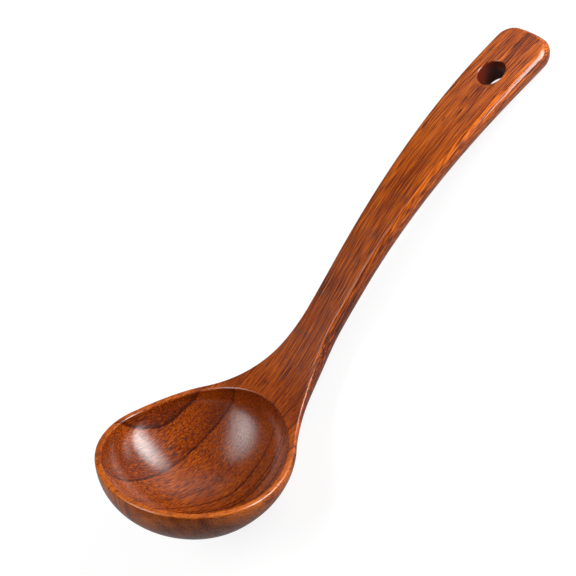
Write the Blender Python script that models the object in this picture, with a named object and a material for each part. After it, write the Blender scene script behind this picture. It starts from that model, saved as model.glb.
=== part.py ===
"""Wooden soup ladle carved from one piece: round bowl, flared neck, bent handle with a hanging hole.

The ladle is drawn first as a flat spoon: s runs from the centre of the bowl to the end of the handle,
y runs across to the left, and depth goes down from the top face. The flat spoon is then bent along the
side profile, and the finished ladle is laid down on its bowl and the end of its handle.
"""
from math import atan, atan2, cos, hypot, pi, radians, sin, sqrt

import bmesh
import bpy
from mathutils import Matrix, Vector

MM = 0.001

# Bowl: round across, a little shorter towards its tip than its radius
BOWL_INSIDE_RADIUS = 32.9 * MM
BOWL_TIP_REACH = 26.8 * MM
BOWL_INSIDE_DEPTH = 19.9 * MM
BOWL_FLOOR = 2.8 * MM
RIM_WIDTH = 2.3 * MM
RIM_EDGE_RADIUS = 0.6 * MM
RIM_SIDE_DEPTH = 1.5 * MM

# Exponents of the bowl's sections: 0.5 is a full half ellipse, 1 is a shallow dish
INSIDE_FULLNESS = 0.6
TIP_FULLNESS = 0.47
NECK_FULLNESS = 0.79

# Handle, seen flat
HANDLE_REACH = 185.2 * MM
WAIST_WIDTH = 14.4 * MM
END_WIDTH = 23.0 * MM
FLARE_RADIUS = 57.9 * MM
END_CORNER_RADIUS = 6.3 * MM
END_CROWN_RADIUS = 48.0 * MM
HANDLE_THICKNESS = 8.8 * MM
HANDLE_SIDE_DEPTH = 2.3 * MM
HANDLE_TOP_RADIUS = 2.3 * MM

# The handle's back is rounded over this width from each side; the edge loops cover part of it
BACK_ROUND_WIDTH = 6.1 * MM
BACK_FULLNESS = 0.6
BACK_LOOP_WIDTH = 2.4 * MM

# Side profile: the bend starts at a distance s, and the last stretch is straight
BEND_START = 1.2 * MM
NECK_BEND_RADIUS = 66.7 * MM
NECK_BEND_ANGLE = radians(44.9)
NECK_STRAIGHT = 29.0 * MM
HANDLE_BEND_ANGLE = radians(20.1)
STRAIGHT_END = 16.0 * MM

# Hanging hole
HOLE_DIAMETER = 10.0 * MM
HOLE_SETBACK = 20.4 * MM
HOLE_EDGE_RADIUS = 0.5 * MM
HOLE_MARGIN = 2.6 * MM

# Lacquered wood
WOOD_COLOUR = (0.30, 0.075, 0.022, 1.0)
WOOD_ROUGHNESS = 0.28

# Mesh counts, and the length and angle that its fine work uses
BOWL_SEGMENTS = 40
BOWL_RINGS = 10
COLUMNS = 10
FLARE_ROWS = 9
HANDLE_ROWS = 14
END_ROWS = 3
EDGE_STEPS = 3
HOLE_RINGS = 2
TINY = 0.01 * MM
SHARP_ANGLE = radians(40)
HALVINGS = 40

# Flat outline: the flare is an arc that touches the bowl's circle and the waist
OUTER_RADIUS = BOWL_INSIDE_RADIUS + RIM_WIDTH
OUTER_TIP = BOWL_TIP_REACH + RIM_WIDTH
OUTER_DEPTH = BOWL_INSIDE_DEPTH + BOWL_FLOOR
FLARE_CENTRE_Y = WAIST_WIDTH / 2 + FLARE_RADIUS
WAIST = sqrt((OUTER_RADIUS + FLARE_RADIUS) ** 2 - FLARE_CENTRE_Y ** 2)
FLARE_ANGLE = atan2(FLARE_CENTRE_Y, WAIST)
NECK_START = OUTER_RADIUS * cos(FLARE_ANGLE)

# Flat outline: the end is a shallow arc with rounded corners
CROWN_CENTRE = HANDLE_REACH - END_CROWN_RADIUS
CORNER_Y = END_WIDTH / 2 - END_CORNER_RADIUS
CORNER_S = CROWN_CENTRE + sqrt((END_CROWN_RADIUS - END_CORNER_RADIUS) ** 2 - CORNER_Y ** 2)
CROWN_ANGLE = atan2(CORNER_Y, CORNER_S - CROWN_CENTRE)
CORNER_LENGTH = END_CORNER_RADIUS * (pi / 2 - CROWN_ANGLE)
CROWN_LENGTH = 2 * END_CROWN_RADIUS * CROWN_ANGLE
HOLE_S = HANDLE_REACH - HOLE_SETBACK
HOLE_PATCH_REACH = HOLE_DIAMETER / 2 + HOLE_MARGIN

# Side profile: straight bowl, neck arc up, straight stretch, handle arc back down, straight end
NECK_BEND_END = BEND_START + NECK_BEND_RADIUS * NECK_BEND_ANGLE
HANDLE_BEND_START = NECK_BEND_END + NECK_STRAIGHT
STRAIGHT_START = HANDLE_REACH - STRAIGHT_END
HANDLE_BEND_RADIUS = (STRAIGHT_START - HANDLE_BEND_START) / HANDLE_BEND_ANGLE

# Rows along the handle, counted from the bowl
HOLE_FIRST_ROW = FLARE_ROWS + HANDLE_ROWS
HOLE_LAST_ROW = HOLE_FIRST_ROW + COLUMNS
ROWS = HOLE_LAST_ROW + END_ROWS
STATIONS = BOWL_SEGMENTS + 2 * ROWS + COLUMNS


def ramp(value):
    """Ease from 0 to 1 with level ends."""
    t = min(max(value, 0.0), 1.0)
    return t * t * (3 - 2 * t)


def steps(first, last, count):
    """Evenly spaced values after first, up to and including last."""
    return [first + (last - first) * (i + 1) / count for i in range(count)]


def half_width(s):
    """Half the flat outline's width along the flare and the handle."""
    if s < WAIST:
        return FLARE_CENTRE_Y - sqrt(FLARE_RADIUS ** 2 - (WAIST - s) ** 2)
    widening = ramp((s - WAIST) / (CORNER_S - WAIST))
    return (WAIST_WIDTH + (END_WIDTH - WAIST_WIDTH) * widening) / 2


def top_edge_radius(s):
    """The top edge is crisp at the bowl and the neck, and softer towards the end."""
    softening = ramp((s - NECK_START) / (HOLE_S - NECK_START))
    return RIM_EDGE_RADIUS + (HANDLE_TOP_RADIUS - RIM_EDGE_RADIUS) * softening


def side_depth(s):
    """How far down the upright side face goes before the underside rounds in."""
    blend = ramp((s - NECK_START) / (WAIST - NECK_START))
    return RIM_SIDE_DEPTH + (HANDLE_SIDE_DEPTH - RIM_SIDE_DEPTH) * blend


def bowl_depth(s, y):
    """Underside of the bowl, a full round form that ends upright at the rim."""
    reach = OUTER_TIP if s < 0 else OUTER_RADIUS
    inside = max(1 - (s / reach) ** 2 - (y / OUTER_RADIUS) ** 2, 0.0)
    fullness = NECK_FULLNESS + (TIP_FULLNESS - NECK_FULLNESS) * (1 - s / reach) / 2
    return RIM_SIDE_DEPTH + (OUTER_DEPTH - RIM_SIDE_DEPTH) * inside ** fullness


def neck_fillet():
    """Radius and end of the arc that carries the bowl's underside into the handle's back."""
    slope = (bowl_depth(NECK_START - TINY, 0) - bowl_depth(NECK_START, 0)) / TINY
    turn = atan(slope)
    radius = (bowl_depth(NECK_START, 0) - HANDLE_THICKNESS) / (1 - cos(turn))
    return radius, NECK_START + radius * sin(turn)


FILLET_RADIUS, FILLET_END = neck_fillet()


def middle_depth(s):
    """Thickness below the top face along the middle of the neck and the handle."""
    if s >= FILLET_END:
        return HANDLE_THICKNESS
    return HANDLE_THICKNESS + FILLET_RADIUS - sqrt(FILLET_RADIUS ** 2 - (FILLET_END - s) ** 2)


def handle_inset(s, y):
    """Distance in from the flat outline, on the neck and the handle."""
    across = abs(y)
    if s > CORNER_S and across > CORNER_Y:
        return END_CORNER_RADIUS - hypot(s - CORNER_S, across - CORNER_Y)
    end = END_CROWN_RADIUS - hypot(s - CROWN_CENTRE, y)
    side = half_width(min(s, CORNER_S)) - across
    return min(side, end) if s > CROWN_CENTRE else side


def underside_depth(s, y):
    """Depth of the underside: the bowl's belly, then the neck and the handle's rounded back."""
    if s <= NECK_START:
        return bowl_depth(s, y)
    half = half_width(min(s, CORNER_S))
    blend = ramp((s - NECK_START) / (WAIST - NECK_START))
    rounding = half + (min(BACK_ROUND_WIDTH, half) - half) * blend
    outward = 1 - min(max(handle_inset(s, y) / rounding, 0.0), 1.0)
    fullness = NECK_FULLNESS + (BACK_FULLNESS - NECK_FULLNESS) * blend
    side = side_depth(s)
    return side + (middle_depth(s) - side) * (1 - outward ** 2) ** fullness


def top_depth(s, y):
    """The top face is level in the flat spoon."""
    return 0.0


def bend(s, y, depth):
    """Carry a point of the flat spoon onto the side profile."""
    rise = min(max((s - BEND_START) / NECK_BEND_RADIUS, 0.0), NECK_BEND_ANGLE)
    neck = min(max(s - NECK_BEND_END, 0.0), NECK_STRAIGHT)
    fall = min(max((s - HANDLE_BEND_START) / HANDLE_BEND_RADIUS, 0.0), HANDLE_BEND_ANGLE)
    end = max(s - STRAIGHT_START, 0.0)
    slope = rise - fall
    turned = NECK_BEND_ANGLE - fall
    x = min(s, BEND_START) + NECK_BEND_RADIUS * sin(rise) + neck * cos(NECK_BEND_ANGLE)
    x += HANDLE_BEND_RADIUS * (sin(NECK_BEND_ANGLE) - sin(turned)) + end * cos(slope)
    z = NECK_BEND_RADIUS * (1 - cos(rise)) + neck * sin(NECK_BEND_ANGLE)
    z += HANDLE_BEND_RADIUS * (cos(turned) - cos(NECK_BEND_ANGLE)) + end * sin(slope)
    return Vector((x + depth * sin(slope), y, z - depth * cos(slope)))


def bowl_station(angle):
    """Point and outward direction on the bowl's part of the outline."""
    reach = OUTER_TIP if cos(angle) < 0 else OUTER_RADIUS
    outward = Vector((cos(angle) / reach, sin(angle) / OUTER_RADIUS)).normalized()
    return Vector((reach * cos(angle), OUTER_RADIUS * sin(angle))), outward


def side_station(s, side):
    """Point and outward direction on the flare or the handle; side is 1 on the left and -1 on the right."""
    y = half_width(s)
    if s < WAIST:
        outward = Vector((WAIST - s, FLARE_CENTRE_Y - y)).normalized()
    else:
        outward = Vector((half_width(s - TINY) - half_width(s + TINY), 2 * TINY)).normalized()
    return Vector((s, side * y)), Vector((outward.x, side * outward.y))


def end_station(distance):
    """Point and outward direction at a distance along the end, from its right corner to its left."""
    middle = CORNER_LENGTH + CROWN_LENGTH / 2
    side = -1 if distance < middle else 1
    along = middle - abs(distance - middle)
    if along < CORNER_LENGTH:
        angle = pi / 2 - along / END_CORNER_RADIUS
        centre = Vector((CORNER_S, side * CORNER_Y))
        radius = END_CORNER_RADIUS
    else:
        angle = CROWN_ANGLE - (along - CORNER_LENGTH) / END_CROWN_RADIUS
        centre = Vector((CROWN_CENTRE, 0))
        radius = END_CROWN_RADIUS
    outward = Vector((cos(angle), side * sin(angle)))
    return centre + radius * outward, outward


def row_places():
    """Distance s of each row along the flare and the handle."""
    turn = pi / 2 - FLARE_ANGLE
    flare = [WAIST - FLARE_RADIUS * sin(turn * (1 - i / FLARE_ROWS)) for i in range(FLARE_ROWS + 1)]
    handle = steps(WAIST, HOLE_S - HOLE_PATCH_REACH, HANDLE_ROWS)
    hole = steps(HOLE_S - HOLE_PATCH_REACH, HOLE_S + HOLE_PATCH_REACH, COLUMNS)
    end = steps(HOLE_S + HOLE_PATCH_REACH, CORNER_S, END_ROWS)
    return flare + handle + hole + end


def outline():
    """The flat outline, round the bowl from left to right, out along the handle and back."""
    places = row_places()
    around = 2 * pi - 2 * FLARE_ANGLE
    bowl = [bowl_station(FLARE_ANGLE + around * i / BOWL_SEGMENTS) for i in range(BOWL_SEGMENTS)]
    right = [side_station(s, -1) for s in places[:-1]]
    end_length = 2 * CORNER_LENGTH + CROWN_LENGTH
    end = [end_station(end_length * i / COLUMNS) for i in range(COLUMNS + 1)]
    left = [side_station(s, 1) for s in reversed(places[1:-1])]
    return bowl + right + end + left


class Ladle:
    """Builds the mesh: a top sheet, an underside sheet, and the edge loops that join them."""

    def __init__(self):
        self.mesh = bmesh.new()
        self.stations = outline()

    def vertex(self, point):
        return self.mesh.verts.new(bend(*point))

    def bridge(self, first, second, closed=True):
        """Join two rows of vertices with quads."""
        count = len(first) if closed else len(first) - 1
        for i in range(count):
            j = (i + 1) % len(first)
            self.mesh.faces.new((first[i], first[j], second[j], second[i]))

    def fan(self, ring, centre):
        """Close a ring of vertices onto one point."""
        for i, corner in enumerate(ring):
            self.mesh.faces.new((corner, ring[(i + 1) % len(ring)], centre))

    def edge_loops(self):
        """Points of the loops round the outline: rounded top edge, side face, rounded back edge."""
        loops = []
        for i in range(EDGE_STEPS + 1):
            turn = pi / 2 * i / EDGE_STEPS
            loop = []
            for place, outward in self.stations:
                radius = top_edge_radius(place.x)
                inward = place - outward * radius * (1 - sin(turn))
                loop.append((inward.x, inward.y, radius * (1 - cos(turn))))
            loops.append(loop)
        for i in range(EDGE_STEPS + 1):
            inset = BACK_LOOP_WIDTH * (1 - cos(pi / 2 * i / EDGE_STEPS))
            loop = []
            for place, outward in self.stations:
                inward = place - outward * inset
                depth = side_depth(place.x) if i == 0 else underside_depth(inward.x, inward.y)
                loop.append((inward.x, inward.y, depth))
            loops.append(loop)
        return loops

    def rows(self, loop, depth_at):
        """Rows of points across the neck and the handle, from the arc at the bowl to the end."""
        right = loop[BOWL_SEGMENTS:BOWL_SEGMENTS + ROWS + 1]
        left = [loop[-r % STATIONS] for r in range(ROWS + 1)]
        end = loop[BOWL_SEGMENTS + ROWS:BOWL_SEGMENTS + ROWS + COLUMNS + 1]
        radius = hypot(left[0][0], left[0][1])
        angle = atan2(left[0][1], left[0][0])
        grid = []
        for r in range(ROWS + 1):
            neck = 1 - ramp(r / FLARE_ROWS)
            tail = max(r - HOLE_LAST_ROW, 0) / END_ROWS
            row = [right[r]]
            for c in range(1, COLUMNS):
                even = 2 * c / COLUMNS - 1
                arc_s = radius * (cos(angle * even) - cos(angle))
                arc_y = sin(angle * even) / sin(angle)
                end_s = end[c][0] - end[0][0]
                end_y = end[c][1] / end[-1][1]
                s = left[r][0] + neck * arc_s + tail * end_s
                across = even + neck * (arc_y - even) + tail * (end_y - even)
                y = left[r][1] * across
                row.append((s, y, depth_at(s, y)))
            row.append(left[r])
            grid.append(row)
        grid[-1] = end
        return grid

    def sheet(self, loop, vertices, depth_at):
        """Fill the handle's part of a sheet; return the ring round the bowl and the square round the hole."""
        points = self.rows(loop, depth_at)
        grid = []
        for r, row in enumerate(points):
            right = vertices[BOWL_SEGMENTS + r]
            left = vertices[-r % STATIONS]
            inner = [self.vertex(point) for point in row[1:-1]] if r < ROWS else []
            grid.append([right] + inner + [left])
        grid[-1] = vertices[BOWL_SEGMENTS + ROWS:BOWL_SEGMENTS + ROWS + COLUMNS + 1]
        for r in range(ROWS):
            if not HOLE_FIRST_ROW <= r < HOLE_LAST_ROW:
                self.bridge(grid[r], grid[r + 1], closed=False)
        ring = vertices[:BOWL_SEGMENTS + 1] + grid[0][1:-1]
        ring_points = loop[:BOWL_SEGMENTS + 1] + points[0][1:-1]
        first, last = HOLE_FIRST_ROW, HOLE_LAST_ROW
        around = [(r, 0) for r in range(first, last)]
        around += [(last, c) for c in range(COLUMNS)]
        around += [(r, COLUMNS) for r in range(last, first, -1)]
        around += [(first, c) for c in range(COLUMNS, 0, -1)]
        square = [grid[r][c] for r, c in around]
        square_points = [points[r][c] for r, c in around]
        return ring, ring_points, square, square_points

    def hole(self, square, square_points, depth_at, inward):
        """Rings from the square to the hole, then its rounded edge; inward is 1 going down and -1 going up."""
        rim = HOLE_DIAMETER / 2 + HOLE_EDGE_RADIUS
        first = -3 * pi / 4
        angles = [first + pi / 2 * i / COLUMNS for i in range(4 * COLUMNS)]
        last = square
        for part in steps(0, 1, HOLE_RINGS):
            ring = []
            for angle, point in zip(angles, square_points):
                s = point[0] + (HOLE_S + rim * cos(angle) - point[0]) * part
                y = point[1] + (rim * sin(angle) - point[1]) * part
                ring.append(self.vertex((s, y, depth_at(s, y))))
            self.bridge(last, ring)
            last = ring
        for turn in steps(0, pi / 2, EDGE_STEPS):
            radius = rim - HOLE_EDGE_RADIUS * sin(turn)
            drop = inward * HOLE_EDGE_RADIUS * (1 - cos(turn))
            ring = []
            for angle in angles:
                s = HOLE_S + radius * cos(angle)
                y = radius * sin(angle)
                ring.append(self.vertex((s, y, depth_at(s, y) + drop)))
            self.bridge(last, ring)
            last = ring
        return last

    def hollow(self, ring, ring_points):
        """Rim band, rounded inner edge and the inside of the bowl."""
        angles = []
        for s, y, depth in ring_points:
            reach = OUTER_TIP if s < 0 else OUTER_RADIUS
            angles.append(atan2(y / OUTER_RADIUS, s / reach))
        levels = []
        for i in range(EDGE_STEPS + 1):
            turn = pi / 2 * i / EDGE_STEPS
            scale = 1 + RIM_EDGE_RADIUS * (1 - sin(turn)) / BOWL_INSIDE_RADIUS
            levels.append((scale, RIM_EDGE_RADIUS * (1 - cos(turn))))
        for i in range(1, BOWL_RINGS):
            scale = cos(pi / 2 * i / BOWL_RINGS)
            depth = (BOWL_INSIDE_DEPTH - RIM_EDGE_RADIUS) * (1 - scale ** 2) ** INSIDE_FULLNESS
            levels.append((scale, RIM_EDGE_RADIUS + depth))
        for scale, depth in levels:
            inner = []
            for angle in angles:
                reach = BOWL_TIP_REACH if cos(angle) < 0 else BOWL_INSIDE_RADIUS
                s = reach * scale * cos(angle)
                y = BOWL_INSIDE_RADIUS * scale * sin(angle)
                inner.append(self.vertex((s, y, depth)))
            self.bridge(ring, inner)
            ring = inner
        self.fan(ring, self.vertex((0, 0, BOWL_INSIDE_DEPTH)))

    def belly(self, ring, ring_points):
        """Underside of the bowl, ring by ring to its lowest point."""
        for i in range(1, BOWL_RINGS):
            scale = cos(pi / 2 * i / BOWL_RINGS)
            inner = []
            for s, y, depth in ring_points:
                inner.append(self.vertex((s * scale, y * scale, underside_depth(s * scale, y * scale))))
            self.bridge(ring, inner)
            ring = inner
        self.fan(ring, self.vertex((0, 0, OUTER_DEPTH)))

    def build(self):
        """The whole closed body."""
        loops = self.edge_loops()
        vertices = [[self.vertex(point) for point in loop] for loop in loops]
        for upper, lower in zip(vertices, vertices[1:]):
            self.bridge(upper, lower)
        ring, ring_points, square, square_points = self.sheet(loops[0], vertices[0], top_depth)
        self.hollow(ring, ring_points)
        upper_hole = self.hole(square, square_points, top_depth, 1)
        ring, ring_points, square, square_points = self.sheet(loops[-1], vertices[-1], underside_depth)
        self.belly(ring, ring_points)
        lower_hole = self.hole(square, square_points, underside_depth, -1)
        self.bridge(upper_hole, lower_hole)
        bmesh.ops.recalc_face_normals(self.mesh, faces=self.mesh.faces)
        return self.mesh


def rest_turn(mesh):
    """Turn about the across axis that sets the bowl and the handle's end on one level."""
    corners = [(v.co.x, v.co.z) for v in mesh.verts]
    low, high = 0.0, pi / 2
    for _ in range(HALVINGS):
        turn = (low + high) / 2
        heights = [(x, z * cos(turn) - x * sin(turn)) for x, z in corners]
        bowl = min(z for x, z in heights if x < WAIST)
        handle = min(z for x, z in heights if x >= WAIST)
        if handle > bowl:
            low = turn
        else:
            high = turn
    return turn


def lay_down(mesh):
    """Set the ladle on the level z = 0, with its box centred on the origin."""
    mesh.transform(Matrix.Rotation(rest_turn(mesh), 4, "Y"))
    places = [v.co for v in mesh.verts]
    middle = (min(p.x for p in places) + max(p.x for p in places)) / 2
    mesh.transform(Matrix.Translation((-middle, 0, -min(p.z for p in places))))


def wood_material():
    material = bpy.data.materials.new("lacquered_wood")
    material.use_nodes = True
    shader = material.node_tree.nodes["Principled BSDF"]
    shader.inputs["Base Color"].default_value = WOOD_COLOUR
    shader.inputs["Roughness"].default_value = WOOD_ROUGHNESS
    shader.inputs["Metallic"].default_value = 0.0
    return material


def main():
    for old in list(bpy.data.objects):
        bpy.data.objects.remove(old, do_unlink=True)
    mesh = Ladle().build()
    lay_down(mesh)
    data = bpy.data.meshes.new("ladle")
    mesh.to_mesh(data)
    mesh.free()
    data.shade_smooth()
    data.set_sharp_from_angle(angle=SHARP_ANGLE)
    data.materials.append(wood_material())
    bpy.context.scene.collection.objects.link(bpy.data.objects.new("ladle", data))


main()
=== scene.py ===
"""Looks of the wooden ladle: a fine carved mesh, lacquered wood, studio light and the photograph's view.

The ladle is drawn first as a flat spoon: s runs from the centre of the bowl to the end of the handle,
y runs across to the left, and depth goes down from the top face. The flat spoon is then bent along the
side profile, and the finished ladle is laid down on its bowl and the end of its handle.
"""
from math import atan, atan2, cos, hypot, pi, radians, sin, sqrt

import bmesh
import bpy
from mathutils import Matrix, Vector


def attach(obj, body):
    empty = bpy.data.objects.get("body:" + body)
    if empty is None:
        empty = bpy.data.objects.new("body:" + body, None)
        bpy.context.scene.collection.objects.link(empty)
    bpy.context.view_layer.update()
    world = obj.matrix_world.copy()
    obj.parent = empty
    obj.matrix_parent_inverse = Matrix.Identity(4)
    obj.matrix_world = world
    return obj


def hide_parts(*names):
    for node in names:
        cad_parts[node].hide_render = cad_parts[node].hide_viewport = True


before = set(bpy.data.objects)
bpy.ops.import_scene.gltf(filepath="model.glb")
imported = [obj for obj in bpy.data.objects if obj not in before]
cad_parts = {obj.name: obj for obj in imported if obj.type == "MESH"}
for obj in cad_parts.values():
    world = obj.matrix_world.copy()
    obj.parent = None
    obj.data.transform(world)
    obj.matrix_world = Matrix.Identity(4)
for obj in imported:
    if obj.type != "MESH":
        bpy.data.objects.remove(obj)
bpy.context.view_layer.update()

MM = 0.001

# Bowl: round across, a little shorter towards its tip than its radius
BOWL_INSIDE_RADIUS = 32.9 * MM
BOWL_TIP_REACH = 26.8 * MM
BOWL_INSIDE_DEPTH = 19.9 * MM
BOWL_FLOOR = 2.8 * MM
RIM_WIDTH = 2.3 * MM
RIM_EDGE_RADIUS = 0.6 * MM
RIM_SIDE_DEPTH = 1.5 * MM

# Exponents of the bowl's sections: 0.5 is a full half ellipse, 1 is a shallow dish
INSIDE_FULLNESS = 0.6
TIP_FULLNESS = 0.47
NECK_FULLNESS = 0.79

# Handle, seen flat
HANDLE_REACH = 185.2 * MM
WAIST_WIDTH = 14.4 * MM
END_WIDTH = 23.0 * MM
FLARE_RADIUS = 57.9 * MM
END_CORNER_RADIUS = 6.3 * MM
END_CROWN_RADIUS = 48.0 * MM
HANDLE_THICKNESS = 8.8 * MM
HANDLE_SIDE_DEPTH = 2.3 * MM
HANDLE_TOP_RADIUS = 2.3 * MM

# The handle's back is rounded over this width from each side; the edge loops cover part of it
BACK_ROUND_WIDTH = 6.1 * MM
BACK_FULLNESS = 0.6
BACK_LOOP_WIDTH = 2.4 * MM

# Side profile: the bend starts at a distance s, and the last stretch is straight
BEND_START = 1.2 * MM
NECK_BEND_RADIUS = 66.7 * MM
NECK_BEND_ANGLE = radians(44.9)
NECK_STRAIGHT = 29.0 * MM
HANDLE_BEND_ANGLE = radians(20.1)
STRAIGHT_END = 16.0 * MM

# Hanging hole
HOLE_DIAMETER = 10.0 * MM
HOLE_SETBACK = 20.4 * MM
HOLE_EDGE_RADIUS = 0.5 * MM
HOLE_MARGIN = 2.6 * MM

# Mesh counts, and the length and angle that its fine work uses
BOWL_SEGMENTS = 144
BOWL_RINGS = 36
COLUMNS = 28
FLARE_ROWS = 36
HANDLE_ROWS = 64
END_ROWS = 8
EDGE_STEPS = 7
HOLE_RINGS = 4
TINY = 0.01 * MM
SHARP_ANGLE = radians(40)
HALVINGS = 40

# Flat outline: the flare is an arc that touches the bowl's circle and the waist
OUTER_RADIUS = BOWL_INSIDE_RADIUS + RIM_WIDTH
OUTER_TIP = BOWL_TIP_REACH + RIM_WIDTH
OUTER_DEPTH = BOWL_INSIDE_DEPTH + BOWL_FLOOR
FLARE_CENTRE_Y = WAIST_WIDTH / 2 + FLARE_RADIUS
WAIST = sqrt((OUTER_RADIUS + FLARE_RADIUS) ** 2 - FLARE_CENTRE_Y ** 2)
FLARE_ANGLE = atan2(FLARE_CENTRE_Y, WAIST)
NECK_START = OUTER_RADIUS * cos(FLARE_ANGLE)

# Flat outline: the end is a shallow arc with rounded corners
CROWN_CENTRE = HANDLE_REACH - END_CROWN_RADIUS
CORNER_Y = END_WIDTH / 2 - END_CORNER_RADIUS
CORNER_S = CROWN_CENTRE + sqrt((END_CROWN_RADIUS - END_CORNER_RADIUS) ** 2 - CORNER_Y ** 2)
CROWN_ANGLE = atan2(CORNER_Y, CORNER_S - CROWN_CENTRE)
CORNER_LENGTH = END_CORNER_RADIUS * (pi / 2 - CROWN_ANGLE)
CROWN_LENGTH = 2 * END_CROWN_RADIUS * CROWN_ANGLE
HOLE_S = HANDLE_REACH - HOLE_SETBACK
HOLE_PATCH_REACH = HOLE_DIAMETER / 2 + HOLE_MARGIN

# Side profile: straight bowl, neck arc up, straight stretch, handle arc back down, straight end
NECK_BEND_END = BEND_START + NECK_BEND_RADIUS * NECK_BEND_ANGLE
HANDLE_BEND_START = NECK_BEND_END + NECK_STRAIGHT
STRAIGHT_START = HANDLE_REACH - STRAIGHT_END
HANDLE_BEND_RADIUS = (STRAIGHT_START - HANDLE_BEND_START) / HANDLE_BEND_ANGLE

# Rows along the handle, counted from the bowl
HOLE_FIRST_ROW = FLARE_ROWS + HANDLE_ROWS
HOLE_LAST_ROW = HOLE_FIRST_ROW + COLUMNS
ROWS = HOLE_LAST_ROW + END_ROWS
STATIONS = BOWL_SEGMENTS + 2 * ROWS + COLUMNS

# Camera: the photograph's view, turned about its own axis because the ladle lies down here
VIEW_AIM = Vector((-12.96, 4.96, 28.16)) * MM
VIEW_DISTANCE = 905.4 * MM
VIEW_AZIMUTH = radians(-94.08)
VIEW_ELEVATION = radians(45.37)
VIEW_ROLL = radians(-52.6)
SENSOR_WIDTH = 36.0
PHOTO_WIDTH = 576
FOCAL_PIXELS = 2777

# Growth layers: upright along the handle, spread on the neck's left and curled at the tip; places in mm
LEFT_SPREAD = 0.7
LEFT_SPREAD_FROM = 5.0
LEFT_SPREAD_SPAN = (-72.0, -45.0)
TIP_CURL_FROM = 14.0
TIP_CURL_SPAN = (-77.0, -96.0)
LOOP_RISE = 7.0
LOOP_RISE_SPAN = (-68.0, -84.0)
LOOP_RISE_SIDES = (21.0, 27.0)

# Growth rings: place across the layers, darkness of its line, darkness beside it, width of the fade
RINGS = (
    (-24.0, 1.05, 0.56, 4.0),
    (-17.0, 1.10, 0.58, 3.0),
    (-11.8, 1.05, 0.62, 1.5),
    (-9.8, 1.00, 0.45, 1.2),
    (-4.4, 0.95, 0.48, 2.5),
    (4.0, 0.62, 0.55, 5.0),
    (18.6, 1.15, 0.64, 7.0),
    (28.6, 1.20, 0.74, 5.0),
)
RING_REACH = 40.0
RING_LINE_WIDTH = 0.5
RING_ON_HANDLE_LOW = 0.34
RING_ON_HANDLE_HIGH = 0.46
PLAIN_TONE = 0.42

# Noise in the wood: size of its cells in mm, detail, and how far it moves a place or a tone
LAYER_WANDER = ((35.0, 12.0, 14.0), 2.0, 2.0)
RING_RAGGEDNESS = ((2.5, 0.6, 0.6), 2.0, 0.6)
BANDS = ((120.0, 1.6, 6.0), 2.0, 0.35)
LINES = ((32.0, 0.34, 0.6), 2.0, 1.4)
LONG_FIBRES = ((22.0, 0.28, 0.4), 1.0, 1.4)
DASHES = ((8.0, 0.22, 0.28), 1.0, 1.7)
SHORT_FIBRES = ((6.0, 0.28, 0.36), 1.0, 0.7)
FLECKS = ((2.4, 0.20, 0.25), 0.0, 1.0)
CLOUDS = ((40.0, 14.0, 14.0), 2.0, 0.3)
MOTTLE = ((7.0, 4.5, 8.0), 3.0, 1.2)

# Spots in the wood: size of the noise's cells in mm, detail, and the noise at their edge and middle
BOWL_PORES = ((2.6, 0.27, 0.34), 0.0, 0.63, 0.67)
HANDLE_PORES = ((5.0, 0.28, 0.4), 0.0, 0.64, 0.68)
SMUDGES = ((4.0, 4.0, 30.0), 2.0, 0.54, 0.66)
EDGE_BREAKS = ((5.0, 5.0, 5.0), 2.0, 0.35, 0.6)

# Where the wood changes along the flat spoon, from and to, in mm
HANDLE_GRAIN_SPAN = (15.0, 50.0)
BAND_SPAN = (90.0, 130.0)
HEART_SPAN = (95.0, 125.0)
NECK_TOP_START = (25.0, 36.0)
NECK_TOP_END = (120.0, 75.0)
NECK_SIDE_START = (28.0, 36.0)
NECK_SIDE_END = (95.0, 65.0)
OUTSIDE_SPAN = (60.0, 30.0)
EDGE_HIGHLIGHT_SPAN = (50.0, 75.0)

# Where it changes across the layers, across the handle, below the top face and round the hole, in mm
SIDE_STREAK_LAYERS = (-12.0, -24.0)
HEART_PLACE = -1.8
HEART_WIDTH = 3.5
NECK_SIDE_DEPTHS = (0.3, 1.2)
RIM_LIGHT_DEPTH = 0.9
# Fade of the painted shade round the hanging hole
HOLE_SHADE_FADE = 0.35

# How much of the bands, the streaks and the painted highlight line is left where they are weak
BAND_LOW = 0.3
SIDE_STREAK_LOW = 0.3
STREAKS_OUTSIDE = 0.6
EDGE_BREAK_LOW = 0.3

# How far a face looks out of the bowl, as a cosine, where the outside's tone starts and where it is full
OUTSIDE_FACING = (0.2, 0.6)

# The rim's painted light fades from this share of the bowl's radius
RIM_LIGHT_SHARE = 0.6

# The painted highlight line on the handle's top edge, as depths that are shares of the edge's radius
EDGE_LINE_START = (0.04, 0.12)
EDGE_LINE_END = (0.22, 0.45)

# Changes of tone, where more tone is darker; some are the wood's own, and some are painted light and shade
HEART_DARKNESS = 0.16
PORE_DARKNESS = 0.6
SMUDGE_DARKNESS = 0.3
NECK_DARKNESS = 0.12
# Partly dark wood and partly painted shade on the neck's undercut sides
NECK_SIDE_DARK_WOOD_AND_SHADE = 0.25
# Painted fill light: the bowl's outside is coloured lighter than the wood inside
OUTSIDE_PAINTED_FILL = 0.26
# Painted light on the top of the bowl's rim
RIM_PAINTED_LIGHT = 0.25
# Painted highlight along the handle's rounded top edge
EDGE_PAINTED_HIGHLIGHT = 0.22

# The wood's colours at some tones, as the photograph shows them, 0 to 255
WOOD_COLOURS = (
    (0.0, (202, 104, 30)),
    (0.4, (153, 66, 9)),
    (0.72, (102, 38, 9)),
    (1.0, (62, 24, 11)),
)
# Painted shade on the wall of the hanging hole
HOLE_PAINTED_SHADE = (88, 25, 7)

# Finish
WOOD_SHEEN = 0.3
WOOD_SHEEN_ROUGHNESS = 0.2
PORE_ROUGHNESS = 0.35
PORE_BUMP = 0.25
PORE_BUMP_DEPTH = 0.05 * MM
LACQUER_WEIGHT = 0.55
LACQUER_ROUGHNESS = 0.18

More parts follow.
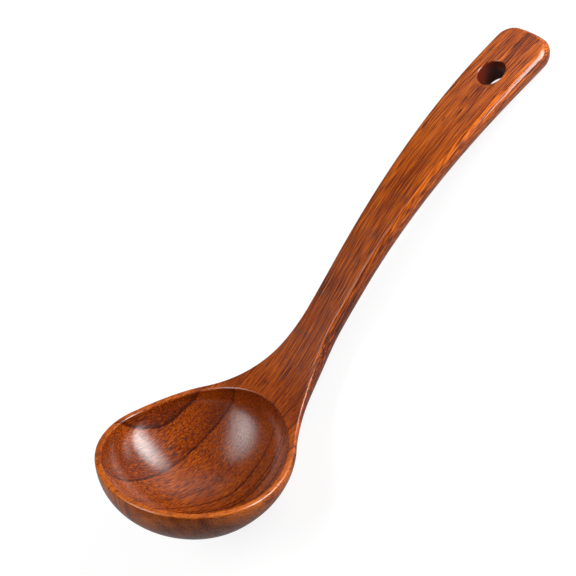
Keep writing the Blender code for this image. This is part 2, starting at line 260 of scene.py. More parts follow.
# Studio, in metres; the floor glows for the camera, and more so away from the ladle
BOWL_PLACE = Vector((-76.0, 0.0, 20.0)) * MM
FLOOR_SIZE = 3.0
FLOOR_COLOUR = 0.25
FLOOR_GLOW = 0.82
FLOOR_GLOW_AWAY = 0.97
FLOOR_GLOW_SPAN = (0.14, 0.34)
GLOW_IN_GLOSS = 0.06
WORLD_GLOW = 1.0
WORLD_LEVEL = 0.04

# Lamps: name, direction from the bowl, distance, upright direction, size in metres, power in watts
SOFTBOXES = (
    ("right_softbox", (0.66, 0.54, 0.53), 0.443, (-0.38, 0.88, 0.0), (0.23, 0.80), 8.2),
    ("left_softbox", (-0.90, 0.20, 0.40), 0.60, (0.0, 1.0, 0.0), (0.42, 1.00), 6.8),
    ("top_softbox", (0.03, 1.0, 0.06), 1.00, (0.0, 0.0, 1.0), (1.70, 0.80), 2.8),
)
LAMP_MIDDLE = (0.5, 0.5, 0.0)
LAMP_CORE = 0.1
LAMP_EDGE = 0.5


def ramp(value):
    """Ease from 0 to 1 with level ends."""
    t = min(max(value, 0.0), 1.0)
    return t * t * (3 - 2 * t)


def steps(first, last, count):
    """Evenly spaced values after first, up to and including last."""
    return [first + (last - first) * (i + 1) / count for i in range(count)]


def half_width(s):
    """Half the flat outline's width along the flare and the handle."""
    if s < WAIST:
        return FLARE_CENTRE_Y - sqrt(FLARE_RADIUS ** 2 - (WAIST - s) ** 2)
    widening = ramp((s - WAIST) / (CORNER_S - WAIST))
    return (WAIST_WIDTH + (END_WIDTH - WAIST_WIDTH) * widening) / 2


def top_edge_radius(s):
    """The top edge is crisp at the bowl and the neck, and softer towards the end."""
    softening = ramp((s - NECK_START) / (HOLE_S - NECK_START))
    return RIM_EDGE_RADIUS + (HANDLE_TOP_RADIUS - RIM_EDGE_RADIUS) * softening


def side_depth(s):
    """How far down the upright side face goes before the underside rounds in."""
    blend = ramp((s - NECK_START) / (WAIST - NECK_START))
    return RIM_SIDE_DEPTH + (HANDLE_SIDE_DEPTH - RIM_SIDE_DEPTH) * blend


def bowl_depth(s, y):
    """Underside of the bowl, a full round form that ends upright at the rim."""
    reach = OUTER_TIP if s < 0 else OUTER_RADIUS
    inside = max(1 - (s / reach) ** 2 - (y / OUTER_RADIUS) ** 2, 0.0)
    fullness = NECK_FULLNESS + (TIP_FULLNESS - NECK_FULLNESS) * (1 - s / reach) / 2
    return RIM_SIDE_DEPTH + (OUTER_DEPTH - RIM_SIDE_DEPTH) * inside ** fullness


def neck_fillet():
    """Radius and end of the arc that carries the bowl's underside into the handle's back."""
    slope = (bowl_depth(NECK_START - TINY, 0) - bowl_depth(NECK_START, 0)) / TINY
    turn = atan(slope)
    radius = (bowl_depth(NECK_START, 0) - HANDLE_THICKNESS) / (1 - cos(turn))
    return radius, NECK_START + radius * sin(turn)


FILLET_RADIUS, FILLET_END = neck_fillet()


def middle_depth(s):
    """Thickness below the top face along the middle of the neck and the handle."""
    if s >= FILLET_END:
        return HANDLE_THICKNESS
    return HANDLE_THICKNESS + FILLET_RADIUS - sqrt(FILLET_RADIUS ** 2 - (FILLET_END - s) ** 2)


def handle_inset(s, y):
    """Distance in from the flat outline, on the neck and the handle."""
    across = abs(y)
    if s > CORNER_S and across > CORNER_Y:
        return END_CORNER_RADIUS - hypot(s - CORNER_S, across - CORNER_Y)
    end = END_CROWN_RADIUS - hypot(s - CROWN_CENTRE, y)
    side = half_width(min(s, CORNER_S)) - across
    return min(side, end) if s > CROWN_CENTRE else side


def underside_depth(s, y):
    """Depth of the underside: the bowl's belly, then the neck and the handle's rounded back."""
    if s <= NECK_START:
        return bowl_depth(s, y)
    half = half_width(min(s, CORNER_S))
    blend = ramp((s - NECK_START) / (WAIST - NECK_START))
    rounding = half + (min(BACK_ROUND_WIDTH, half) - half) * blend
    outward = 1 - min(max(handle_inset(s, y) / rounding, 0.0), 1.0)
    fullness = NECK_FULLNESS + (BACK_FULLNESS - NECK_FULLNESS) * blend
    side = side_depth(s)
    return side + (middle_depth(s) - side) * (1 - outward ** 2) ** fullness


def top_depth(s, y):
    """The top face is level in the flat spoon."""
    return 0.0


def bend(s, y, depth):
    """Carry a point of the flat spoon onto the side profile."""
    rise = min(max((s - BEND_START) / NECK_BEND_RADIUS, 0.0), NECK_BEND_ANGLE)
    neck = min(max(s - NECK_BEND_END, 0.0), NECK_STRAIGHT)
    fall = min(max((s - HANDLE_BEND_START) / HANDLE_BEND_RADIUS, 0.0), HANDLE_BEND_ANGLE)
    end = max(s - STRAIGHT_START, 0.0)
    slope = rise - fall
    turned = NECK_BEND_ANGLE - fall
    x = min(s, BEND_START) + NECK_BEND_RADIUS * sin(rise) + neck * cos(NECK_BEND_ANGLE)
    x += HANDLE_BEND_RADIUS * (sin(NECK_BEND_ANGLE) - sin(turned)) + end * cos(slope)
    z = NECK_BEND_RADIUS * (1 - cos(rise)) + neck * sin(NECK_BEND_ANGLE)
    z += HANDLE_BEND_RADIUS * (cos(turned) - cos(NECK_BEND_ANGLE)) + end * sin(slope)
    return Vector((x + depth * sin(slope), y, z - depth * cos(slope)))


def bowl_station(angle):
    """Point and outward direction on the bowl's part of the outline."""
    reach = OUTER_TIP if cos(angle) < 0 else OUTER_RADIUS
    outward = Vector((cos(angle) / reach, sin(angle) / OUTER_RADIUS)).normalized()
    return Vector((reach * cos(angle), OUTER_RADIUS * sin(angle))), outward


def side_station(s, side):
    """Point and outward direction on the flare or the handle; side is 1 on the left and -1 on the right."""
    y = half_width(s)
    if s < WAIST:
        outward = Vector((WAIST - s, FLARE_CENTRE_Y - y)).normalized()
    else:
        outward = Vector((half_width(s - TINY) - half_width(s + TINY), 2 * TINY)).normalized()
    return Vector((s, side * y)), Vector((outward.x, side * outward.y))


def end_station(distance):
    """Point and outward direction at a distance along the end, from its right corner to its left."""
    middle = CORNER_LENGTH + CROWN_LENGTH / 2
    side = -1 if distance < middle else 1
    along = middle - abs(distance - middle)
    if along < CORNER_LENGTH:
        angle = pi / 2 - along / END_CORNER_RADIUS
        centre = Vector((CORNER_S, side * CORNER_Y))
        radius = END_CORNER_RADIUS
    else:
        angle = CROWN_ANGLE - (along - CORNER_LENGTH) / END_CROWN_RADIUS
        centre = Vector((CROWN_CENTRE, 0))
        radius = END_CROWN_RADIUS
    outward = Vector((cos(angle), side * sin(angle)))
    return centre + radius * outward, outward


def row_places():
    """Distance s of each row along the flare and the handle."""
    turn = pi / 2 - FLARE_ANGLE
    flare = [WAIST - FLARE_RADIUS * sin(turn * (1 - i / FLARE_ROWS)) for i in range(FLARE_ROWS + 1)]
    handle = steps(WAIST, HOLE_S - HOLE_PATCH_REACH, HANDLE_ROWS)
    hole = steps(HOLE_S - HOLE_PATCH_REACH, HOLE_S + HOLE_PATCH_REACH, COLUMNS)
    end = steps(HOLE_S + HOLE_PATCH_REACH, CORNER_S, END_ROWS)
    return flare + handle + hole + end


def outline():
    """The flat outline, round the bowl from left to right, out along the handle and back."""
    places = row_places()
    around = 2 * pi - 2 * FLARE_ANGLE
    bowl = [bowl_station(FLARE_ANGLE + around * i / BOWL_SEGMENTS) for i in range(BOWL_SEGMENTS)]
    right = [side_station(s, -1) for s in places[:-1]]
    end_length = 2 * CORNER_LENGTH + CROWN_LENGTH
    end = [end_station(end_length * i / COLUMNS) for i in range(COLUMNS + 1)]
    left = [side_station(s, 1) for s in reversed(places[1:-1])]
    return bowl + right + end + left


class Ladle:
    """Builds the mesh: a top sheet, an underside sheet, and the edge loops that join them."""

    def __init__(self):
        self.mesh = bmesh.new()
        self.flat = self.mesh.verts.layers.float_vector.new("flat_place")
        self.stations = outline()

    def vertex(self, point):
        """A corner on the bent ladle that keeps its place on the flat spoon, for the grain."""
        corner = self.mesh.verts.new(bend(*point))
        corner[self.flat] = point
        return corner

    def bridge(self, first, second, closed=True):
        """Join two rows of vertices with quads."""
        count = len(first) if closed else len(first) - 1
        for i in range(count):
            j = (i + 1) % len(first)
            self.mesh.faces.new((first[i], first[j], second[j], second[i]))

    def fan(self, ring, centre):
        """Close a ring of vertices onto one point."""
        for i, corner in enumerate(ring):
            self.mesh.faces.new((corner, ring[(i + 1) % len(ring)], centre))

    def edge_loops(self):
        """Points of the loops round the outline: rounded top edge, side face, rounded back edge."""
        loops = []
        for i in range(EDGE_STEPS + 1):
            turn = pi / 2 * i / EDGE_STEPS
            loop = []
            for place, outward in self.stations:
                radius = top_edge_radius(place.x)
                inward = place - outward * radius * (1 - sin(turn))
                loop.append((inward.x, inward.y, radius * (1 - cos(turn))))
            loops.append(loop)
        for i in range(EDGE_STEPS + 1):
            inset = BACK_LOOP_WIDTH * (1 - cos(pi / 2 * i / EDGE_STEPS))
            loop = []
            for place, outward in self.stations:
                inward = place - outward * inset
                depth = side_depth(place.x) if i == 0 else underside_depth(inward.x, inward.y)
                loop.append((inward.x, inward.y, depth))
            loops.append(loop)
        return loops

    def rows(self, loop, depth_at):
        """Rows of points across the neck and the handle, from the arc at the bowl to the end."""
        right = loop[BOWL_SEGMENTS:BOWL_SEGMENTS + ROWS + 1]
        left = [loop[-r % STATIONS] for r in range(ROWS + 1)]
        end = loop[BOWL_SEGMENTS + ROWS:BOWL_SEGMENTS + ROWS + COLUMNS + 1]
        radius = hypot(left[0][0], left[0][1])
        angle = atan2(left[0][1], left[0][0])
        grid = []
        for r in range(ROWS + 1):
            neck = 1 - ramp(r / FLARE_ROWS)
            tail = max(r - HOLE_LAST_ROW, 0) / END_ROWS
            row = [right[r]]
            for c in range(1, COLUMNS):
                even = 2 * c / COLUMNS - 1
                arc_s = radius * (cos(angle * even) - cos(angle))
                arc_y = sin(angle * even) / sin(angle)
                end_s = end[c][0] - end[0][0]
                end_y = end[c][1] / end[-1][1]
                s = left[r][0] + neck * arc_s + tail * end_s
                across = even + neck * (arc_y - even) + tail * (end_y - even)
                y = left[r][1] * across
                row.append((s, y, depth_at(s, y)))
            row.append(left[r])
            grid.append(row)
        grid[-1] = end
        return grid

    def sheet(self, loop, vertices, depth_at):
        """Fill the handle's part of a sheet; return the bowl's ring and the square round the hole."""
        points = self.rows(loop, depth_at)
        grid = []
        for r, row in enumerate(points):
            right = vertices[BOWL_SEGMENTS + r]
            left = vertices[-r % STATIONS]
            inner = [self.vertex(point) for point in row[1:-1]] if r < ROWS else []
            grid.append([right] + inner + [left])
        grid[-1] = vertices[BOWL_SEGMENTS + ROWS:BOWL_SEGMENTS + ROWS + COLUMNS + 1]
        for r in range(ROWS):
            if not HOLE_FIRST_ROW <= r < HOLE_LAST_ROW:
                self.bridge(grid[r], grid[r + 1], closed=False)
        ring = vertices[:BOWL_SEGMENTS + 1] + grid[0][1:-1]
        ring_points = loop[:BOWL_SEGMENTS + 1] + points[0][1:-1]
        first, last = HOLE_FIRST_ROW, HOLE_LAST_ROW
        around = [(r, 0) for r in range(first, last)]
        around += [(last, c) for c in range(COLUMNS)]
        around += [(r, COLUMNS) for r in range(last, first, -1)]
        around += [(first, c) for c in range(COLUMNS, 0, -1)]
        square = [grid[r][c] for r, c in around]
        square_points = [points[r][c] for r, c in around]
        return ring, ring_points, square, square_points

    def hole(self, square, square_points, depth_at, inward):
        """Rings from the square to the hole, then its rounded edge; inward is 1 down and -1 up."""
        rim = HOLE_DIAMETER / 2 + HOLE_EDGE_RADIUS
        first = -3 * pi / 4
        angles = [first + pi / 2 * i / COLUMNS for i in range(4 * COLUMNS)]
        last = square
        for part in steps(0, 1, HOLE_RINGS):
            ring = []
            for angle, point in zip(angles, square_points):
                s = point[0] + (HOLE_S + rim * cos(angle) - point[0]) * part
                y = point[1] + (rim * sin(angle) - point[1]) * part
                ring.append(self.vertex((s, y, depth_at(s, y))))
            self.bridge(last, ring)
            last = ring
        for turn in steps(0, pi / 2, EDGE_STEPS):
            radius = rim - HOLE_EDGE_RADIUS * sin(turn)
            drop = inward * HOLE_EDGE_RADIUS * (1 - cos(turn))
            ring = []
            for angle in angles:
                s = HOLE_S + radius * cos(angle)
                y = radius * sin(angle)
                ring.append(self.vertex((s, y, depth_at(s, y) + drop)))
            self.bridge(last, ring)
            last = ring
        return last

    def hollow(self, ring, ring_points):
        """Rim band, rounded inner edge and the inside of the bowl."""
        angles = []
        for s, y, _ in ring_points:
            reach = OUTER_TIP if s < 0 else OUTER_RADIUS
            angles.append(atan2(y / OUTER_RADIUS, s / reach))
        levels = []
        for i in range(EDGE_STEPS + 1):
            turn = pi / 2 * i / EDGE_STEPS
            scale = 1 + RIM_EDGE_RADIUS * (1 - sin(turn)) / BOWL_INSIDE_RADIUS
            levels.append((scale, RIM_EDGE_RADIUS * (1 - cos(turn))))
        for i in range(1, BOWL_RINGS):
            scale = cos(pi / 2 * i / BOWL_RINGS)
            depth = (BOWL_INSIDE_DEPTH - RIM_EDGE_RADIUS) * (1 - scale ** 2) ** INSIDE_FULLNESS
            levels.append((scale, RIM_EDGE_RADIUS + depth))
        for scale, depth in levels:
            inner = []
            for angle in angles:
                reach = BOWL_TIP_REACH if cos(angle) < 0 else BOWL_INSIDE_RADIUS
                s = reach * scale * cos(angle)
                y = BOWL_INSIDE_RADIUS * scale * sin(angle)
                inner.append(self.vertex((s, y, depth)))
            self.bridge(ring, inner)
            ring = inner
        self.fan(ring, self.vertex((0, 0, BOWL_INSIDE_DEPTH)))

    def belly(self, ring, ring_points):
        """Underside of the bowl, ring by ring to its lowest point."""
        for i in range(1, BOWL_RINGS):
            scale = cos(pi / 2 * i / BOWL_RINGS)
            inner = []
            for s, y, _ in ring_points:
                inner.append(self.vertex((s * scale, y * scale, underside_depth(s * scale, y * scale))))
            self.bridge(ring, inner)
            ring = inner
        self.fan(ring, self.vertex((0, 0, OUTER_DEPTH)))

    def build(self):
        """The whole closed body."""
        loops = self.edge_loops()
        vertices = [[self.vertex(point) for point in loop] for loop in loops]
        for upper, lower in zip(vertices, vertices[1:]):
            self.bridge(upper, lower)
        ring, ring_points, square, square_points = self.sheet(loops[0], vertices[0], top_depth)
        self.hollow(ring, ring_points)
        upper_hole = self.hole(square, square_points, top_depth, 1)
        ring, ring_points, square, square_points = self.sheet(loops[-1], vertices[-1], underside_depth)
        self.belly(ring, ring_points)
        lower_hole = self.hole(square, square_points, underside_depth, -1)
        self.bridge(upper_hole, lower_hole)
        bmesh.ops.recalc_face_normals(self.mesh, faces=self.mesh.faces)
        return self.mesh


def rest_turn(mesh):
    """Turn about the across axis that sets the bowl and the handle's end on one level."""
    corners = [(v.co.x, v.co.z) for v in mesh.verts]
    low, high = 0.0, pi / 2
    for _ in range(HALVINGS):
        turn = (low + high) / 2
        heights = [(x, z * cos(turn) - x * sin(turn)) for x, z in corners]
        bowl = min(z for x, z in heights if x < WAIST)
        handle = min(z for x, z in heights if x >= WAIST)
        if handle > bowl:
            low = turn
        else:
            high = turn
    return turn


def lay_down(mesh):
    """Set the ladle on the level z = 0, with its box centred on the origin."""
    mesh.transform(Matrix.Rotation(rest_turn(mesh), 4, "Y"))
    places = [v.co for v in mesh.verts]
    middle = (min(p.x for p in places) + max(p.x for p in places)) / 2
    mesh.transform(Matrix.Translation((-middle, 0, -min(p.z for p in places))))


def srgb(colour):
    """A 0 to 255 colour as the linear values that a shader takes."""
    linear = []
    for value in colour:
        v = value / 255
        linear.append(v / 12.92 if v <= 0.04045 else ((v + 0.055) / 1.055) ** 2.4)
    return (*linear, 1.0)


def grey(value):
    """A grey of this linear value."""
    return (value, value, value, 1.0)


class Nodes:
    """Short calls for building one node tree."""

    def __init__(self, tree):
        self.tree = tree

    def add(self, kind, **settings):
        """A new node with these settings."""
        node = self.tree.nodes.new(kind)
        for name, value in settings.items():
            setattr(node, name, value)
        return node

    def put(self, socket, value):
        """Link a socket to another node's output, or set its value."""
        if isinstance(value, bpy.types.NodeSocket):
            self.tree.links.new(value, socket)
        else:
            socket.default_value = value

    def math(self, operation, first, second=0.0):
        """One step of arithmetic, on one number or two."""
        node = self.add("ShaderNodeMath", operation=operation)
        self.put(node.inputs[0], first)
        self.put(node.inputs[1], second)
        return node.outputs[0]

    def span(self, value, low, high, first=0.0, last=1.0):
        """Map low to high onto first to last, and hold the ends."""
        node = self.add("ShaderNodeMapRange")
        for name, setting in (("Value", value), ("From Min", low), ("From Max", high),
                              ("To Min", first), ("To Max", last)):
            self.put(node.inputs[name], setting)
        return node.outputs[0]

    def arrows(self, operation, first, second=(0.0, 0.0, 0.0)):
        """One step of vector arithmetic; its outputs are Vector and Value."""
        node = self.add("ShaderNodeVectorMath", operation=operation)
        self.put(node.inputs[0], first)
        self.put(node.inputs[1], second)
        return node.outputs

    def vector(self, x, y, z):
        """A vector of three numbers."""
        node = self.add("ShaderNodeCombineXYZ")
        for socket, value in zip(node.inputs, (x, y, z)):
            self.put(socket, value)
        return node.outputs[0]

    def split(self, vector):
        """The three numbers of a vector."""
        node = self.add("ShaderNodeSeparateXYZ")
        self.put(node.inputs[0], vector)
        return list(node.outputs)

    def in_mm(self, place):
        """A place in metres as millimetres."""
        return self.arrows("MULTIPLY", place, (1 / MM, 1 / MM, 1 / MM))["Vector"]

    def noise(self, place, size, detail):
        """Noise, 0 to 1, whose cells measure size along x, y and z."""
        node = self.add("ShaderNodeTexNoise")
        self.put(node.inputs["Vector"], self.arrows("DIVIDE", place, size)["Vector"])
        node.inputs["Scale"].default_value = 1.0
        node.inputs["Detail"].default_value = detail
        return node.outputs["Fac"]

    def centred(self, place, size, detail, amount):
        """Noise as a change of either sign."""
        return self.math("MULTIPLY", self.math("SUBTRACT", self.noise(place, size, detail), 0.5), amount)

    def spots(self, place, size, detail, edge, middle, first=0.0, last=1.0):
        """Noise that goes from first to last between two of its values."""
        return self.span(self.noise(place, size, detail), edge, middle, first, last)

    def mix(self, part, first, second):
        """A colour between first, where part is 0, and second, where part is 1.

        Inputs 6 and 7 and output 2 are the colour sockets of this node.
        """
        node = self.add("ShaderNodeMix", data_type="RGBA")
        self.put(node.inputs["Factor"], part)
        self.put(node.inputs[6], first)
        self.put(node.inputs[7], second)
        return node.outputs[2]

    def seen(self, level):
        """A glow at this level for the camera, and a faint one for reflections."""
        rays = self.add("ShaderNodeLightPath").outputs
        mirrored = self.math("MAXIMUM", rays["Is Glossy Ray"], rays["Is Transmission Ray"])
        mirrored = self.math("MULTIPLY", mirrored, GLOW_IN_GLOSS)
        return self.math("MAXIMUM", mirrored, self.math("MULTIPLY", rays["Is Camera Ray"], level))

    def ramp(self, value, stops):
        """A colour ramp; stops are (place, colour)."""
        node = self.add("ShaderNodeValToRGB")
        elements = node.color_ramp.elements
        while len(elements) < len(stops):
            elements.new(0.5)
        for element, (place, colour) in zip(elements, stops):
            element.position = place
            element.color = colour
        self.put(node.inputs[0], value)
        return node.outputs[0]


def layers(nodes, place):
    """Distance across the growth layers, in mm: they spread on the neck's left and curl at the tip."""
    x, y, _ = nodes.split(place)
    spread = nodes.math("POWER", nodes.span(x, *LEFT_SPREAD_SPAN), 2.0)
    spread = nodes.math("MULTIPLY", spread, LEFT_SPREAD)
    left = nodes.math("MAXIMUM", nodes.math("SUBTRACT", y, LEFT_SPREAD_FROM), 0.0)
    curl = nodes.math("POWER", nodes.span(x, *TIP_CURL_SPAN), 2.0)
    right = nodes.math("MINIMUM", nodes.math("SUBTRACT", y, TIP_CURL_FROM), 0.0)
    rise = nodes.math("POWER", nodes.span(x, *LOOP_RISE_SPAN), 2.0)
    rise = nodes.math("MULTIPLY", rise, nodes.span(y, *LOOP_RISE_SIDES, 0.0, -LOOP_RISE))
    across = nodes.math("ADD", y, nodes.math("MULTIPLY", spread, left))
    across = nodes.math("ADD", across, nodes.math("MULTIPLY", curl, right))
    across = nodes.math("ADD", across, rise)
    return nodes.math("ADD", across, nodes.centred(place, *LAYER_WANDER))


def ring_stops():
    """Stops of the ring ramp: at each ring a dark line, then a fade to the plain tone."""
    stops = []
    for place, line, beside, fade in RINGS:
        stops.append((place - RING_LINE_WIDTH, PLAIN_TONE))
        stops.append((place, line))
        stops.append((place + RING_LINE_WIDTH, beside))
        stops.append((place + fade, PLAIN_TONE))
    return [((place + RING_REACH) / (2 * RING_REACH), grey(tone)) for place, tone in stops]


def ring_tone(nodes, place, across, on_handle):
    """Growth rings, with ragged lines in the bowl and hardly any contrast on the handle."""
    ragged = nodes.math("ADD", across, nodes.centred(place, *RING_RAGGEDNESS))
    ring = nodes.ramp(nodes.span(ragged, -RING_REACH, RING_REACH), ring_stops())
    quiet = nodes.span(ring, 0.0, 1.0, RING_ON_HANDLE_LOW, RING_ON_HANDLE_HIGH)
    return nodes.span(on_handle, 0.0, 1.0, ring, quiet)


def streak_tone(nodes, grain, across, on_handle, outer):
    """Bands and lines along the growth layers, strong on the handle and on the bowl's right."""
    along, _, depth = nodes.split(grain)
    layered = nodes.vector(along, across, depth)
    amount = nodes.span(across, *SIDE_STREAK_LAYERS, SIDE_STREAK_LOW, 1.0)
    amount = nodes.math("MAXIMUM", on_handle, amount)
    amount = nodes.math("MULTIPLY", amount, nodes.span(outer, 0.0, 1.0, 1.0, STREAKS_OUTSIDE))
    bands = nodes.centred(layered, *BANDS)
    bands = nodes.math("MULTIPLY", bands, nodes.span(along, *BAND_SPAN, BAND_LOW, 1.0))
    streaks = nodes.math("ADD", bands, nodes.centred(layered, *LINES))
    return nodes.math("MULTIPLY", streaks, amount)


def fibre_tone(nodes, grain, on_handle):
    """Short fibres and flecks in the bowl, and long fibres and dashes on the handle."""
    bowl = nodes.math("ADD", nodes.centred(grain, *SHORT_FIBRES), nodes.centred(grain, *FLECKS))
    handle = nodes.math("ADD", nodes.centred(grain, *LONG_FIBRES), nodes.centred(grain, *DASHES))
    return nodes.span(on_handle, 0.0, 1.0, bowl, handle)


def pore_mask(nodes, grain, on_handle):
    """1 in a pore and 0 beside it; the handle's pores are longer than the bowl's."""
    bowl = nodes.spots(grain, *BOWL_PORES)
    handle = nodes.spots(grain, *HANDLE_PORES)
    return nodes.span(on_handle, 0.0, 1.0, bowl, handle)


def outside(nodes, along, place):
    """1 on the bowl's outside, and 0 inside it and on the handle."""
    normal = nodes.add("ShaderNodeNewGeometry").outputs["Normal"]
    outward = nodes.arrows("SUBTRACT", place, BOWL_PLACE / MM)["Vector"]
    outward = nodes.arrows("NORMALIZE", outward)["Vector"]
    facing_out = nodes.arrows("DOT_PRODUCT", outward, normal)["Value"]
    return nodes.math("MULTIPLY", nodes.span(facing_out, *OUTSIDE_FACING), nodes.span(along, *OUTSIDE_SPAN))


def outside_tone(nodes, place, grain, outer):
    """The bowl's outside is mottled, with dark upright smudges, and painted lighter overall as painted fill
    light.
    """
    mottle = nodes.math("SUBTRACT", nodes.centred(grain, *MOTTLE), OUTSIDE_PAINTED_FILL)
    smudges = nodes.spots(place, *SMUDGES, 0.0, SMUDGE_DARKNESS)
    return nodes.math("MULTIPLY", nodes.math("ADD", mottle, smudges), outer)


def heart_tone(nodes, along, side):
    """A darker band along the middle of the handle's outer half."""
    offset = nodes.math("ABSOLUTE", nodes.math("SUBTRACT", side, HEART_PLACE))
    band = nodes.span(offset, 0.0, HEART_WIDTH, HEART_DARKNESS, 0.0)
    return nodes.math("MULTIPLY", band, nodes.span(along, *HEART_SPAN))


def neck_tone(nodes, along, depth):
    """The neck is darker than the bowl and the handle; its undercut sides are darker again, partly dark wood
    and partly painted shade.
    """
    top = nodes.span(along, *NECK_TOP_END, 0.0, NECK_DARKNESS)
    top = nodes.math("MULTIPLY", top, nodes.span(along, *NECK_TOP_START))
    sides = nodes.span(depth, *NECK_SIDE_DEPTHS, 0.0, NECK_SIDE_DARK_WOOD_AND_SHADE)
    sides = nodes.math("MULTIPLY", sides, nodes.span(along, *NECK_SIDE_START))
    sides = nodes.math("MULTIPLY", sides, nodes.span(along, *NECK_SIDE_END))
    return nodes.math("ADD", top, sides)


def rim_light_tone(nodes, along, depth):
    """The bowl's rim is painted lighter near its top: painted light."""
    near_top = nodes.span(depth, 0.0, RIM_LIGHT_DEPTH, -RIM_PAINTED_LIGHT, 0.0)
    bowl_end = BOWL_INSIDE_RADIUS / MM
    return nodes.math("MULTIPLY", near_top, nodes.span(along, RIM_LIGHT_SHARE * bowl_end, bowl_end, 1.0, 0.0))


def edge_highlight_tone(nodes, grain, along, depth):
    """The handle's rounded top edges are painted lighter in a broken line: a painted highlight."""
    radius = nodes.span(along, NECK_START / MM, HOLE_S / MM, RIM_EDGE_RADIUS / MM, HANDLE_TOP_RADIUS / MM)
    turn = nodes.math("DIVIDE", depth, radius)
    line = nodes.span(turn, *EDGE_LINE_END, 1.0, 0.0)
    line = nodes.math("MULTIPLY", line, nodes.span(turn, *EDGE_LINE_START))
    line = nodes.math("MULTIPLY", line, nodes.spots(grain, *EDGE_BREAKS, EDGE_BREAK_LOW, 1.0))
    highlight_line = nodes.math("MULTIPLY", line, nodes.span(along, *EDGE_HIGHLIGHT_SPAN))
    return nodes.math("MULTIPLY", highlight_line, -EDGE_PAINTED_HIGHLIGHT)


def in_hole(nodes, along, side):
    """1 on the wall of the hanging hole and 0 elsewhere; there the wall is painted darker as painted shade,
    and is rougher.
    """
    radius = HOLE_DIAMETER / 2 / MM
    offset = nodes.vector(nodes.math("SUBTRACT", along, HOLE_S / MM), side, 0.0)
    distance = nodes.arrows("LENGTH", offset)["Value"]
    return nodes.span(distance, radius, radius + HOLE_SHADE_FADE, 1.0, 0.0)


def wood_tone(nodes, place, grain, on_handle, pores):
    """Darkness of the wood and of its painted light and shade, from bright at 0 to the darkest lines at 1.
    """
    along, side, depth = nodes.split(grain)
    across = layers(nodes, place)
    outer = outside(nodes, along, place)
    parts = (
        streak_tone(nodes, grain, across, on_handle, outer),
        fibre_tone(nodes, grain, on_handle),
        nodes.centred(place, *CLOUDS),
        outside_tone(nodes, place, grain, outer),
        heart_tone(nodes, along, side),
        neck_tone(nodes, along, depth),
        rim_light_tone(nodes, along, depth),
        edge_highlight_tone(nodes, grain, along, depth),
        nodes.math("MULTIPLY", pores, PORE_DARKNESS),
    )
    tone = ring_tone(nodes, place, across, on_handle)
    for part in parts:
        tone = nodes.math("ADD", tone, part)
    return tone


def wood_material():
    """Reddish-brown hardwood under clear lacquer, solid through the ladle."""
    material = bpy.data.materials.new("lacquered_wood")
    material.use_nodes = True
    nodes = Nodes(material.node_tree)
    shader = material.node_tree.nodes["Principled BSDF"]
    place = nodes.in_mm(nodes.add("ShaderNodeTexCoord").outputs["Object"])
    grain = nodes.in_mm(nodes.add("ShaderNodeAttribute", attribute_name="flat_place").outputs["Vector"])
    along, side, _ = nodes.split(grain)
    on_handle = nodes.span(along, *HANDLE_GRAIN_SPAN)
    pores = pore_mask(nodes, grain, on_handle)
    hole = in_hole(nodes, along, side)

    tone = wood_tone(nodes, place, grain, on_handle, pores)
    colour = nodes.ramp(tone, [(stop, srgb(wood)) for stop, wood in WOOD_COLOURS])
    # The hanging hole's wall takes a darker colour: painted shade
    nodes.put(shader.inputs["Base Color"], nodes.mix(hole, colour, srgb(HOLE_PAINTED_SHADE)))
    rough = nodes.math("MAXIMUM", pores, hole)
    nodes.put(shader.inputs["Roughness"], nodes.span(rough, 0.0, 1.0, WOOD_SHEEN_ROUGHNESS, PORE_ROUGHNESS))
    shader.inputs["Specular IOR Level"].default_value = WOOD_SHEEN
    shader.inputs["Coat Weight"].default_value = LACQUER_WEIGHT
    shader.inputs["Coat Roughness"].default_value = LACQUER_ROUGHNESS
    bump = nodes.add("ShaderNodeBump")
    bump.inputs["Strength"].default_value = PORE_BUMP
    bump.inputs["Distance"].default_value = PORE_BUMP_DEPTH
    nodes.put(bump.inputs["Height"], nodes.math("SUBTRACT", 1.0, pores))
    nodes.put(shader.inputs["Normal"], bump.outputs[0])
    return material


def make_ladle():
    """The fine carved ladle, in place of the plain solid."""
    mesh = Ladle().build()
    lay_down(mesh)
    data = bpy.data.meshes.new("carved_ladle")
    mesh.to_mesh(data)
    mesh.free()
    data.shade_smooth()
    data.set_sharp_from_angle(angle=SHARP_ANGLE)
    data.materials.append(wood_material())
    ladle = bpy.data.objects.new("carved_ladle", data)
    bpy.context.scene.collection.objects.link(ladle)
    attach(ladle, "root")
    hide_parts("ladle")


def view_axes():
    """The camera's right, up and back directions."""
    back = Vector((cos(VIEW_AZIMUTH) * cos(VIEW_ELEVATION), sin(VIEW_AZIMUTH) * cos(VIEW_ELEVATION),
                   sin(VIEW_ELEVATION)))
    level = Vector((0, 0, 1)).cross(back).normalized()
    right = Matrix.Rotation(VIEW_ROLL, 3, back) @ level
    return right, back.cross(right), back


def turned_to(back, up):
    """Rotation that points an object's -Z away from back, with its Y towards up."""
    right = up.cross(back).normalized()
    return Matrix((right, back.cross(right), back)).transposed().to_euler()


def make_camera():
    """The photograph's camera."""
    _, up, back = view_axes()
    camera = bpy.data.cameras.new("camera")
    camera.sensor_width = SENSOR_WIDTH
    camera.lens = FOCAL_PIXELS / PHOTO_WIDTH * SENSOR_WIDTH
    holder = bpy.data.objects.new("camera", camera)
    holder.location = VIEW_AIM + back * VIEW_DISTANCE
    holder.rotation_euler = turned_to(back, up)
    bpy.context.scene.collection.objects.link(holder)
    bpy.context.scene.camera = holder


def feather(lamp):
    """Dim the lamp from its middle to its edge."""
    lamp.use_nodes = True
    nodes = Nodes(lamp.node_tree)
    place = nodes.add("ShaderNodeNewGeometry").outputs["Parametric"]
    offset = nodes.arrows("DISTANCE", place, LAMP_MIDDLE)["Value"]
    strength = nodes.span(offset, LAMP_CORE, LAMP_EDGE, 1.0, 0.0)
    nodes.put(lamp.node_tree.nodes["Emission"].inputs["Strength"], strength)


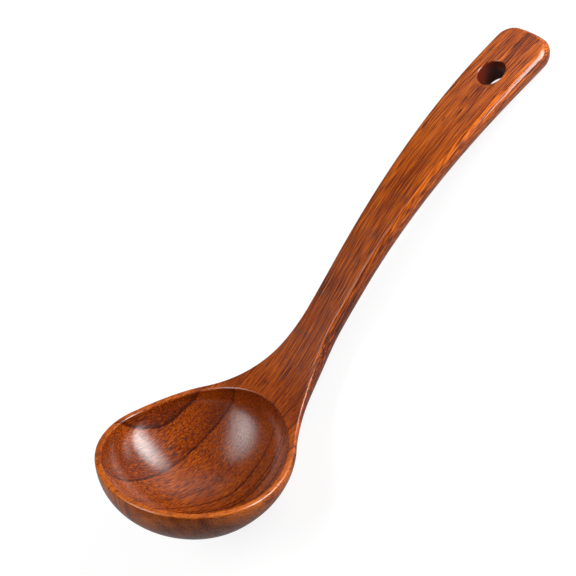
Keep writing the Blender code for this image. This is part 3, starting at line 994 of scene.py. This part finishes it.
def make_softbox(name, towards, distance, upright, size, power):
    """A soft lamp aimed at the bowl; directions are right, up and back in the camera's view."""
    axes = Matrix(view_axes()).transposed()
    direction = (axes @ Vector(towards)).normalized()
    lamp = bpy.data.lights.new(name, "AREA")
    lamp.shape = "ELLIPSE"
    lamp.size, lamp.size_y = size
    lamp.energy = power
    feather(lamp)
    holder = bpy.data.objects.new(name, lamp)
    holder.location = BOWL_PLACE + direction * distance
    holder.rotation_euler = turned_to(direction, axes @ Vector(upright))
    bpy.context.scene.collection.objects.link(holder)


def floor_material():
    """Grey floor that the camera sees as white, with the ladle's shadow."""
    material = bpy.data.materials.new("floor")
    material.use_nodes = True
    nodes = Nodes(material.node_tree)
    shader = material.node_tree.nodes["Principled BSDF"]
    shader.inputs["Base Color"].default_value = grey(FLOOR_COLOUR)
    shader.inputs["Roughness"].default_value = 1.0
    shader.inputs["Specular IOR Level"].default_value = 0.0
    shader.inputs["Emission Color"].default_value = grey(1.0)
    place = nodes.add("ShaderNodeNewGeometry").outputs["Position"]
    distance = nodes.arrows("LENGTH", place)["Value"]
    glow = nodes.span(distance, *FLOOR_GLOW_SPAN, FLOOR_GLOW, FLOOR_GLOW_AWAY)
    nodes.put(shader.inputs["Emission Strength"], nodes.seen(glow))
    return material


def make_floor():
    """A level square that the ladle lies on."""
    half = FLOOR_SIZE / 2
    corners = [(-half, -half, 0), (half, -half, 0), (half, half, 0), (-half, half, 0)]
    data = bpy.data.meshes.new("floor")
    data.from_pydata(corners, [], [(0, 1, 2, 3)])
    data.materials.append(floor_material())
    floor = bpy.data.objects.new("floor", data)
    bpy.context.scene.collection.objects.link(floor)


def make_world():
    """Dim light from all round, white where the camera sees it."""
    world = bpy.data.worlds.new("studio")
    world.use_nodes = True
    nodes = Nodes(world.node_tree)
    background = world.node_tree.nodes["Background"]
    background.inputs["Color"].default_value = grey(1.0)
    nodes.put(background.inputs["Strength"], nodes.math("MAXIMUM", nodes.seen(WORLD_GLOW), WORLD_LEVEL))
    bpy.context.scene.world = world


make_camera()
make_floor()
make_world()
for softbox in SOFTBOXES:
    make_softbox(*softbox)
make_ladle()
bpy.context.scene.view_settings.view_transform = "Standard"
